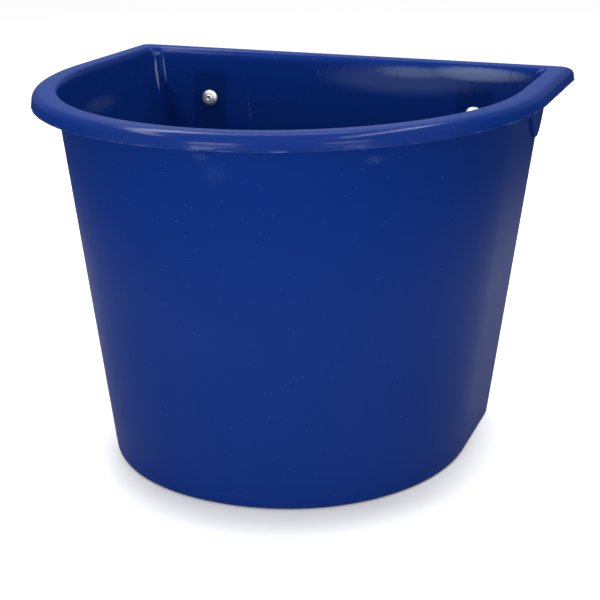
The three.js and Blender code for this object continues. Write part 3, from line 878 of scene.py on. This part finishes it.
def build_scratch_group():
    """Hairline scratches: noise stretched twenty- to thirtyfold along one direction and cut to thin
    lines, which stay only where a coarser noise is high. Three directions lie over each other."""
    tree, given, out = new_group("Hairline scratches", {"Scale": 90.0, "Amount": 0.5}, ["Mask"])
    directions = (  # turn, stretch, shift
        ((0.4, 0.9, 0.2), (1.0, 0.03, 1.0), 0.0),
        ((1.2, -0.3, 1.1), (0.04, 1.0, 1.0), 3.7),
        ((-0.7, 0.5, -0.6), (1.0, 1.0, 0.05), 9.1),
    )
    thinness, sparse, full = 0.012, 0.78, 0.8
    total = 0.0
    for turn, stretch, shift in directions:
        mapped = add_node(tree, "ShaderNodeMapping", {
            "Vector": given["Vector"], "Location": (shift, shift, shift), "Rotation": turn,
            "Scale": stretch}).outputs[0]
        line = noise(tree, mapped, given["Scale"], detail=3.0, roughness=0.6, distortion=0.2)
        off_line = maths(tree, "ABSOLUTE", maths(tree, "SUBTRACT", line, 0.5))
        coarse = noise(tree, mapped, times(tree, given["Scale"], 0.4))
        start = maths(tree, "SUBTRACT", sparse, times(tree, given["Amount"], 0.3))
        scratch = times(tree, fade(tree, off_line, thinness, 0.0), fade(tree, coarse, start, full))
        total = plus(tree, total, scratch, clamp=True)
    tree.links.new(total, out["Mask"])


def build_speck_group():
    """Pale specks of dust: round cells, each with its own chance to show and its own size."""
    tree, given, out = new_group("Dust specks", {"Scale": 420.0, "Amount": 0.3}, ["Mask"])
    largest, soft = 0.32, 0.06
    distance, draw = cells(tree, given["Vector"], given["Scale"])
    shown = maths(tree, "LESS_THAN", draw[0], given["Amount"])
    past_edge = maths(tree, "SUBTRACT", distance, times(tree, draw[1], largest))
    tree.links.new(times(tree, fade(tree, past_edge, soft, 0.0), shown), out["Mask"])


def build_flow_group():
    """Unevenness of a moulding: a coarse swell, a middle ripple and a fine grain as one height, and a
    slow change of tone."""
    tree, given, out = new_group("Moulding flow", {}, ["Tone", "Height"])
    ripple_share, grain_share = 0.12, 0.012
    upright = add_node(tree, "ShaderNodeMapping", {
        "Vector": given["Vector"], "Scale": (1.0, 1.0, 0.35)}).outputs[0]
    swell = noise(tree, upright, 9.0, detail=1.0)
    ripple = times(tree, noise(tree, given["Vector"], 60.0), ripple_share)
    grain = times(tree, noise(tree, given["Vector"], 900.0, roughness=0.6), grain_share)
    tree.links.new(plus(tree, plus(tree, swell, ripple), grain), out["Height"])
    tree.links.new(noise(tree, upright, 5.0), out["Tone"])


def build_smear_group():
    """One mark at a stated place, used for smears, dark nicks, painted highlights and a painted reflection: a soft
    ellipsoid that leans sideways by a share of its height, broken up by noise."""
    tree, given, out = new_group("Smear", {
        "Centre": ORIGIN, "Reach": (0.01, 0.01, 0.01), "Lean": 0.0, "Break up": 400.0, "Solid": 0.35,
        "Amount": 0.5}, ["Mask"])
    x, y, z = parts_of(tree, vector_maths(tree, "SUBTRACT", given["Vector"], given["Centre"]))
    aside = maths(tree, "SUBTRACT", x, times(tree, z, given["Lean"]))
    straight = add_node(tree, "ShaderNodeCombineXYZ", {0: aside, 1: y, 2: z}).outputs[0]
    span = vector_length(tree, vector_maths(tree, "DIVIDE", straight, given["Reach"]))
    soft = fade(tree, span, 1.0, 0.2)
    grain = noise(tree, given["Vector"], given["Break up"], detail=4.0, roughness=0.7)
    broken = fade(tree, plus(tree, grain, times(tree, soft, given["Solid"])), 0.6, 0.85)
    tree.links.new(times(tree, broken, soft, given["Amount"]), out["Mask"])


def build_spangle_group():
    """Spangle of hot-dip zinc: large crystals, each with its own brightness, over a fine mottle."""
    tree, given, out = new_group("Zinc spangle", {"Scale": 110.0}, ["Tone", "Height"])
    bend, crystal_share, mottle_share = 0.006, 0.6, 0.4
    swirl = add_node(tree, "ShaderNodeTexNoise", {
        "Vector": given["Vector"], "Scale": 60.0, "Detail": 2.0})
    push = vector_maths(tree, "MULTIPLY", swirl.outputs["Color"], (bend, bend, bend))
    _, draw = cells(tree, vector_maths(tree, "ADD", given["Vector"], push), given["Scale"])
    mottle = noise(tree, given["Vector"], 700.0, detail=3.0, roughness=0.6)
    tone = plus(tree, times(tree, draw[0], crystal_share), times(tree, mottle, mottle_share))
    tree.links.new(tone, out["Tone"])
    tree.links.new(mottle, out["Height"])


def new_material(name, **sockets):
    """A material with a Principled BSDF whose plain sockets are set at once."""
    material = bpy.data.materials.new(name)
    material.use_nodes = True
    tree = material.node_tree
    shader = tree.nodes["Principled BSDF"]
    for socket, value in sockets.items():
        shader.inputs[socket.replace("_", " ")].default_value = value
    place = tree.nodes.new("ShaderNodeTexCoord").outputs["Object"]
    return material, tree, shader, place


def bump(tree, shader, height, distance):
    """Feeds a height, in shares of distance, to the shader's normal."""
    node = add_node(tree, "ShaderNodeBump", {"Height": height, "Distance": distance})
    tree.links.new(node.outputs[0], shader.inputs["Normal"])


def opaque(rgb, dimmed=1.0):
    """A colour with full alpha, dimmed to a share of itself."""
    return (*(dimmed * channel for channel in rgb), 1.0)


# Smears: centre, reach, lean, break up, solid, amount
PALE_SMEARS_AND_HIGHLIGHTS = (
    # The first three are a painted reflection: a pale band and line along the top of the inner back wall.
    ((0.1300, 0.1164, 0.3155), (0.072, 0.008, 0.0105), 0.0, 900.0, 0.60, 0.36),
    ((0.0700, 0.1160, 0.3135), (0.060, 0.008, 0.0095), 0.0, 900.0, 0.50, 0.24),
    ((0.0600, 0.1155, 0.3070), (0.120, 0.008, 0.024), 0.0, 1200.0, 0.45, 0.08),
    ((-0.1875, -0.004, 0.2885), (0.020, 0.064, 0.014), 0.0, 900.0, 0.30, 0.06),
    # The next three are painted highlights: two pale lines down the left rear inner corner and a pale spot where
    # they meet the lip.
    ((-0.1853, 0.1150, 0.2970), (0.0016, 0.010, 0.026), -0.146, 900.0, 0.60, 0.55),
    ((-0.1787, 0.1156, 0.3040), (0.0012, 0.010, 0.021), -0.162, 900.0, 0.60, 0.40),
    ((-0.1860, 0.1130, 0.3180), (0.006, 0.010, 0.0035), 0.0, 900.0, 0.60, 0.20),
    ((-0.0886, 0.1133, 0.2700), (0.0018, 0.008, 0.026), -0.18, 700.0, 0.22, 0.14),
    ((-0.0207, 0.1160, 0.3090), (0.0012, 0.008, 0.008), 0.0, 1500.0, 0.30, 0.10),
    ((0.0090, -0.2268, 0.3020), (0.010, 0.010, 0.0060), 0.0, 1500.0, 0.10, 0.45),
    ((0.0190, -0.2236, 0.2900), (0.016, 0.012, 0.014), 0.0, 1700.0, 0.10, 0.25),
    ((0.1243, -0.1729, 0.2975), (0.014, 0.014, 0.0060), 0.0, 1500.0, 0.15, 0.20),
    ((0.1100, -0.1350, 0.1000), (0.060, 0.060, 0.055), 0.0, 1900.0, 0.02, 0.16),
)
DARK_NICKS = (
    ((0.2013, -0.0089, 0.3240), (0.0012, 0.0045, 0.004), 0.0, 300.0, 0.90, 0.60),
    ((-0.1544, -0.1548, 0.3240), (0.0030, 0.0012, 0.004), 0.0, 300.0, 0.90, 0.60),
    ((0.1612, 0.1165, 0.3160), (0.0008, 0.008, 0.0065), 0.0, 300.0, 0.90, 0.70),
    ((0.0562, 0.1160, 0.3100), (0.0007, 0.008, 0.0065), 0.0, 300.0, 0.90, 0.60),
)


def smears(tree, place, marks, strength):
    """All marks of a list, smears, nicks, painted highlights and a painted reflection, as one mask, the strongest
    at each place.
    """
    total = 0.0
    for centre, reach, lean, break_up, solid, amount in marks:
        mask = group_node(tree, "Smear", {
            "Vector": place, "Centre": centre, "Reach": reach, "Lean": lean, "Break up": break_up,
            "Solid": solid, "Amount": amount * strength})
        total = maths(tree, "MAXIMUM", total, mask["Mask"])
    return total


def painted_plate_shadow(tree, x, y, z):
    """Painted shadow of a hook's plate: 1 on the back wall where the plate lies behind it and keeps out the light
    that otherwise shines through the plastic, so the plastic is drawn darker there. Its soft edges are one to
    three times as wide as the wall is thick."""
    s, h = bpy.context.scene.manger_trough, bpy.context.scene.manger_hook
    bolt, soft = Vector(swivels["right"]["pos_m"]), s.wall
    aside = maths(tree, "ABSOLUTE", maths(tree, "SUBTRACT", maths(tree, "ABSOLUTE", x), bolt.x))
    mask = fade(tree, aside, h.width / 2.0 + soft, h.width / 2.0 - 0.2 * soft)
    for value, low, high in ((z, bolt.z + h.rise + soft, bolt.z + h.rise - soft),
                             (z, bolt.z - h.drop - 3.0 * soft, bolt.z - h.drop),
                             (y, s.base_back - 2.0 * s.wall, s.base_back - s.wall)):
        mask = times(tree, mask, fade(tree, value, low, high))
    return mask


def on_skirt(tree, x, y, z):
    """1 on the flash bead at the foot of the skirt, and 0 elsewhere, also on the wall at that height.
    The reach is 1 at the rim's outline: the root of the sum of squares round the front."""
    s = bpy.context.scene.manger_trough
    front = maths(tree, "DIVIDE", maths(tree, "MINIMUM", y, 0.0), s.rim_front)
    across = maths(tree, "DIVIDE", x, s.rim_half_width)
    squares = plus(tree, times(tree, front, front), times(tree, across, across))
    reach = maths(tree, "MAXIMUM", maths(tree, "SQRT", squares), maths(tree, "DIVIDE", y, s.rim_back))
    off = maths(tree, "ABSOLUTE", maths(tree, "SUBTRACT", z, s.height - s.skirt_drop + s.bead))
    return times(tree, fade(tree, off, 2.0 * s.bead, 0.5 * s.bead), fade(tree, reach, 0.94, 0.97))


def rim_polish(tree, x, y, z, look):
    """How polished the rim is: 1 at the middle and the right of its front, and less at its left, its
    sides and its back, where the skirt is dull and the top is dulled in part. 0 below the rim."""
    s = bpy.context.scene.manger_trough
    foot = s.height - s.skirt_drop
    sides = fade(tree, y, -0.64 * s.rim_front, -0.44 * s.rim_front)
    left = fade(tree, x, -0.15 * s.rim_half_width, -0.55 * s.rim_half_width)
    skirt = times(tree, fade(tree, z, s.height - 0.001, s.height - 0.006), look.skirt_rub)
    rubbed = times(tree, maths(tree, "MAXIMUM", skirt, look.crest_rub),
                   maths(tree, "MAXIMUM", sides, left))
    return maths(tree, "SUBTRACT", fade(tree, z, foot - s.bead, foot + s.bead), rubbed, clamp=True)


def blue_plastic(name, look):
    """Glossy moulded plastic: a slow change of tone, hairline scratches that turn pale and dull, specks of dust,
    pale smears and dark nicks in their places, with a painted reflection along the top of the inner back wall and
    painted highlights down the left rear inner corner among the pale smears, a flash bead drawn paler in patches,
    a paler top of the rim, and a painted shadow where the hooks' plates lie behind the wall. The coat has all the
    gloss, most of it on the rim, some low on the wall, and little where hands hold the wall below the rim."""
    material, tree, shader, place = new_material(name, Specular_IOR_Level=0.0, Coat_Roughness=0.17)
    s = bpy.context.scene.manger_trough
    x, y, z = parts_of(tree, place)
    flow = group_node(tree, "Moulding flow", {"Vector": place})
    scratches, specks = (
        group_node(tree, group, {"Vector": place, "Scale": scale, "Amount": amount})["Mask"]
        for group, scale, amount in (("Hairline scratches", 90.0, look.scuffs),
                                     ("Dust specks", 700.0, look.specks)))
    pale = smears(tree, place, PALE_SMEARS_AND_HIGHLIGHTS, look.smears)
    nicks = smears(tree, place, DARK_NICKS, look.smears)
    # the flash bead drawn paler in patches
    pale_bead_patches = fade(tree, noise(tree, place, 45.0, detail=4.0, roughness=0.7), 0.45, 0.75)
    pale_bead_patches = times(tree, pale_bead_patches, 0.5, on_skirt(tree, x, y, z))
    # the top of the rim drawn paler
    top = times(tree, fade(tree, z, s.height - 0.0016, s.height - 0.0002), look.top_paleness)
    worn, dust_and_highlight = opaque(look.plastic_worn), opaque(look.plastic_dust_and_highlight)
    tint = blend_colours(tree, flow["Tone"], opaque(look.plastic, 0.9), opaque(look.plastic))
    # painted shadow: the plastic drawn darker where a hook's plate lies behind the wall
    for mask, over in ((painted_plate_shadow(tree, x, y, z), opaque(look.plastic, 0.7)),
                       (times(tree, scratches, 0.12), worn),
                       (maths(tree, "MAXIMUM", pale_bead_patches, top), worn),
                       (times(tree, specks, 0.15), dust_and_highlight),
                       # pale smears, with the painted highlights and the painted reflection among them
                       (pale, dust_and_highlight),
                       (nicks, opaque(look.nick))):
        tint = blend_colours(tree, mask, tint, over)
    tree.links.new(tint, shader.inputs["Base Color"])

    foot = s.height - s.skirt_drop
    low_wall = fade(tree, z, 0.9 * foot, 0.45 * foot)
    gloss = plus(tree, times(tree, rim_polish(tree, x, y, z, look), look.rim_gloss - look.grip_gloss),
                 plus(tree, times(tree, low_wall, look.wall_gloss - look.grip_gloss), look.grip_gloss))
    dull = plus(tree, pale, times(tree, scratches, 0.4))
    gloss = times(tree, gloss, maths(tree, "SUBTRACT", 1.0, dull, clamp=True))
    tree.links.new(gloss, shader.inputs["Coat Weight"])
    rough = plus(tree, look.roughness, times(tree, flow["Tone"], 0.06))
    rough = plus(tree, rough, times(tree, scratches, 0.2), clamp=True)
    tree.links.new(rough, shader.inputs["Roughness"])
    bump(tree, shader, flow["Height"], look.relief)
    return material


def metal(name, rgb, scale, roughness, spread, contrast, relief):
    """Zinc on steel: the spangle sets the tone and the roughness."""
    material, tree, shader, place = new_material(name, Metallic=1.0)
    spangle = group_node(tree, "Zinc spangle", {"Vector": place, "Scale": scale})
    tint = blend_colours(tree, spangle["Tone"], opaque(rgb, contrast), opaque(rgb))
    tree.links.new(tint, shader.inputs["Base Color"])
    rough = plus(tree, roughness, times(tree, spangle["Tone"], spread))
    tree.links.new(rough, shader.inputs["Roughness"])
    bump(tree, shader, spangle["Height"], relief)
    return material


def white_nylon(name, look):
    """Natural nylon: slightly uneven, milky white."""
    material, tree, shader, place = new_material(name, IOR=1.53)
    mottle = noise(tree, place, 300.0)
    tint = blend_colours(tree, mottle, opaque(look.nylon, 0.9), opaque(look.nylon))
    tree.links.new(tint, shader.inputs["Base Color"])
    tree.links.new(plus(tree, 0.4, times(tree, mottle, 0.2)), shader.inputs["Roughness"])
    return material


def finish_of(slot):
    """The material of a slot, made when it is first asked for."""
    name = f"{slot}_finish"
    if name in bpy.data.materials:
        return bpy.data.materials[name]
    if "Smear" not in bpy.data.node_groups:
        for build in (build_scratch_group, build_speck_group, build_flow_group, build_smear_group,
                      build_spangle_group):
            build()
    look = bpy.context.scene.manger_finish
    if slot == "blue_plastic":
        return blue_plastic(name, look)
    if slot == "galvanised_steel":
        return metal(name, look.galvanised, scale=110.0, roughness=0.38, spread=0.18, contrast=0.72,
                     relief=0.00003)
    if slot == "zinc_plated_steel":
        return metal(name, look.zinc, scale=600.0, roughness=0.34, spread=0.14, contrast=0.85,
                     relief=0.00002)
    return white_nylon(name, look)


def dress(piece, node, body):
    """Gives a piece and the solid that it stands for their finish, and hangs it on its body."""
    slots = {part["node"]: part["material_slot"] for part in frame["record"]["subparts"]}
    for target in (piece, frame["nodes"][node]):
        target.data.materials.clear()
        target.data.materials.append(finish_of(slots[node]))
    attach(piece, body)
    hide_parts(node)


# Stage


# Lamps: name, azimuth, elevation, distance, size
LAMPS = (
    ("left_lamp", -94.0, 58.0, 1.4, (2.0, 0.18)),
    ("right_lamp", 110.0, 64.0, 1.4, (1.6, 0.16)),
    ("top_lamp", -150.0, 60.0, 1.39, (0.8, 0.08)),
    ("low_left_lamp", -4.0, 9.0, 1.6, (0.56, 0.46)),
    ("low_right_lamp", 51.0, 9.0, 1.6, (0.50, 0.46)),
    ("front_lamp", 20.0, 36.0, 2.4, (3.0, 2.2)),
)
LAMP_TARGET = Vector((0.0, 0.0, 0.2))
CAMERA_PLACE = (0.42382, -1.15788, 0.52913)
CAMERA_DIP, CAMERA_TURN = 18.25, 19.95  # degrees down, and degrees to the left of +Y
# Oval of low floor glow, which paints the contact shadow darker than the real shadow and gives it its outline.
SHADOW_CENTRE, SHADOW_REACH = (0.010, -0.030, 0.0), (0.159, 0.175, 1.0)  # an oval on the floor
SHADOW_EDGE, FAR_EDGE = (0.88, 1.2), (1.2, 5.5)  # in reaches of that oval


def seen(tree):
    """1 for what the camera, mirrors and glass see, and 0 for the light that falls on surfaces."""
    path = tree.nodes.new("ShaderNodeLightPath").outputs
    return maths(tree, "MAXIMUM", maths(tree, "MAXIMUM", path["Is Camera Ray"], path["Is Glossy Ray"]),
                 path["Is Transmission Ray"])


def add_floor(stage):
    """Pale floor: a flat square that is clear from below, and that adds white light to what is seen of it: more
    past an oval about the base, and most far off. Inside the oval it adds little, which is painted shade: the real
    contact shadow there is drawn darker and given the oval's outline."""
    reach = stage.floor_reach
    corners = [(x * reach, y * reach, 0.0) for x, y in ((-1, -1), (1, -1), (1, 1), (-1, 1))]
    mesh = bpy.data.meshes.new("floor")
    mesh.from_pydata(corners, [], [(0, 1, 2, 3)])
    floor = add_object("floor", mesh)
    material, tree, shader, place = new_material("floor_paint", Roughness=0.9, Specular_IOR_Level=0.0)
    tone = blend_colours(tree, noise(tree, place, 3.0), opaque(stage.floor_colour, 0.985),
                         opaque(stage.floor_colour))
    tree.links.new(tone, shader.inputs["Base Color"])
    off = vector_maths(tree, "SUBTRACT", place, SHADOW_CENTRE)
    span = vector_length(tree, vector_maths(tree, "DIVIDE", off, SHADOW_REACH))
    near = times(tree, fade(tree, span, *SHADOW_EDGE), stage.near_glow - stage.floor_glow)
    far = times(tree, fade(tree, span, *FAR_EDGE), stage.far_glow - stage.near_glow)
    glow = plus(tree, stage.floor_glow, plus(tree, near, far))
    white = add_node(tree, "ShaderNodeEmission", {"Strength": times(tree, seen(tree), glow)})
    lit = add_node(tree, "ShaderNodeAddShader", {0: shader.outputs[0], 1: white.outputs[0]})
    behind = tree.nodes.new("ShaderNodeNewGeometry").outputs["Backfacing"]
    clear = tree.nodes.new("ShaderNodeBsdfTransparent").outputs[0]
    shown = add_node(tree, "ShaderNodeMixShader", {0: behind, 1: lit.outputs[0], 2: clear})
    tree.links.new(shown.outputs[0], tree.nodes["Material Output"].inputs["Surface"])
    mesh.materials.append(material)


def add_world(stage):
    """Soft light from all round, and plain white for what is seen."""
    world = bpy.data.worlds.new("studio")
    world.use_nodes = True
    tree = world.node_tree
    background = tree.nodes["Background"]
    background.inputs["Color"].default_value = (1.0, 1.0, 1.0, 1.0)
    tree.links.new(maths(tree, "MAXIMUM", seen(tree), stage.sky), background.inputs["Strength"])
    bpy.context.scene.world = world


def add_lamp(name, azimuth, elevation, distance, size, power):
    """A soft rectangular lamp that looks at the trough from an azimuth, counted from the front to the
    right, and an elevation, both in degrees."""
    light = bpy.data.lights.new(name, "AREA")
    light.shape = "RECTANGLE"
    light.size, light.size_y = size
    light.energy = power
    lamp = add_object(name, light)
    turn, rise = math.radians(azimuth), math.radians(elevation)
    toward = Vector((math.sin(turn) * math.cos(rise), -math.cos(turn) * math.cos(rise), math.sin(rise)))
    lamp.location = LAMP_TARGET + distance * toward
    lamp.rotation_euler = toward.to_track_quat("Z", "Y").to_euler()


def add_camera(stage):
    """Camera in front of the trough, a little to the right and above, as in the photograph."""
    data = bpy.data.cameras.new("camera")
    data.lens = stage.lens
    data.sensor_width = 36.0
    data.clip_start, data.clip_end = 0.05, 50.0
    camera = add_object("camera", data)
    camera.location = CAMERA_PLACE
    camera.rotation_euler = (math.radians(90.0 - CAMERA_DIP), 0.0, math.radians(CAMERA_TURN))
    bpy.context.scene.camera = camera


# Operators


class MANGER_OT_trough(Operator):
    """Make the moulded trough with its corner pads, bolt holes and gate mark"""
    bl_idname = "manger.trough"
    bl_label = "Trough"

    def execute(self, context):
        s, f = context.scene.manger_trough, context.scene.manger_fasteners
        levels = trough_levels(s)
        trough = make_piece("moulded_trough", rough_flash(levels.points(), s),
                            start=(0.0, 0.0, 0.0), end=(0.0, 0.0, s.floor))
        combine(trough, [make_pad(s, side) for side in (-1, 1)], "UNION")
        combine(trough, [neck_hole(s, f, side) for side in SIDES] + [gate_mark(s)], "DIFFERENCE")
        soften(trough, 30.0)
        dress(trough, "trough", "tub")
        return {"FINISHED"}


class MANGER_OT_hooks(Operator):
    """Make the two bent steel hooks"""
    bl_idname = "manger.hooks"
    bl_label = "Hooks"

    def execute(self, context):
        scene = context.scene
        for side in SIDES:
            hook = make_hook(scene.manger_hook, scene.manger_fasteners, scene.manger_trough, side)
            dress(hook, f"{side}_hook", f"{side}_hook")
        return {"FINISHED"}


class MANGER_OT_bolts(Operator):
    """Make the two coach bolts"""
    bl_idname = "manger.bolts"
    bl_label = "Coach Bolts"

    def execute(self, context):
        scene = context.scene
        for side in SIDES:
            dress(make_bolt(scene.manger_fasteners, scene.manger_trough, side), f"{side}_bolt", "tub")
        return {"FINISHED"}


class MANGER_OT_nuts(Operator):
    """Make the washers, the lock nuts and their nylon rings"""
    bl_idname = "manger.nuts"
    bl_label = "Washers and Nuts"

    def execute(self, context):
        h, f = context.scene.manger_hook, context.scene.manger_fasteners
        for side in SIDES:
            dress(make_washer(h, f, side), f"{side}_washer", "tub")
            dress(make_nut(h, f, side), f"{side}_nut", "tub")
            dress(make_lock_ring(h, f, side), f"{side}_lock_ring", "tub")
        return {"FINISHED"}


class MANGER_OT_stage(Operator):
    """Make the floor, the soft light and the camera"""
    bl_idname = "manger.stage"
    bl_label = "Stage"

    def execute(self, context):
        stage = context.scene.manger_stage
        add_floor(stage)
        add_world(stage)
        for name, *place in LAMPS:
            add_lamp(name, *place, getattr(stage, name))
        add_camera(stage)
        context.scene.view_settings.view_transform = "Standard"
        return {"FINISHED"}


class MANGER_PT_sidebar(Panel):
    """Lists the manger's operators"""
    bl_label = "Hanging Feed Manger"
    bl_idname = "MANGER_PT_sidebar"
    bl_space_type = "VIEW_3D"
    bl_region_type = "UI"
    bl_category = "Manger"

    def draw(self, context):
        for operator in OPERATORS:
            self.layout.operator(operator.bl_idname)
        for name in SETTINGS:
            box = self.layout.box()
            settings = getattr(context.scene, name)
            box.label(text=settings.bl_rna.name)
            for prop in SETTINGS[name].__annotations__:
                box.prop(settings, prop)


SETTINGS = {"manger_trough": TroughSizes, "manger_hook": HookSizes, "manger_fasteners": FastenerSizes,
            "manger_finish": Finish, "manger_stage": StageSettings}
OPERATORS = (MANGER_OT_stage, MANGER_OT_trough, MANGER_OT_hooks, MANGER_OT_bolts, MANGER_OT_nuts)
CLASSES = (*SETTINGS.values(), *OPERATORS, MANGER_PT_sidebar)


def register():
    for cls in CLASSES:
        bpy.utils.register_class(cls)
    for name, group in SETTINGS.items():
        setattr(bpy.types.Scene, name, PointerProperty(type=group))


def unregister():
    for name in SETTINGS:
        delattr(bpy.types.Scene, name)
    for cls in reversed(CLASSES):
        bpy.utils.unregister_class(cls)


def main():
    register()
    for operator in OPERATORS:
        group, name = operator.bl_idname.split(".")
        getattr(getattr(bpy.ops, group), name)()


if __name__ == "__main__":
    main()
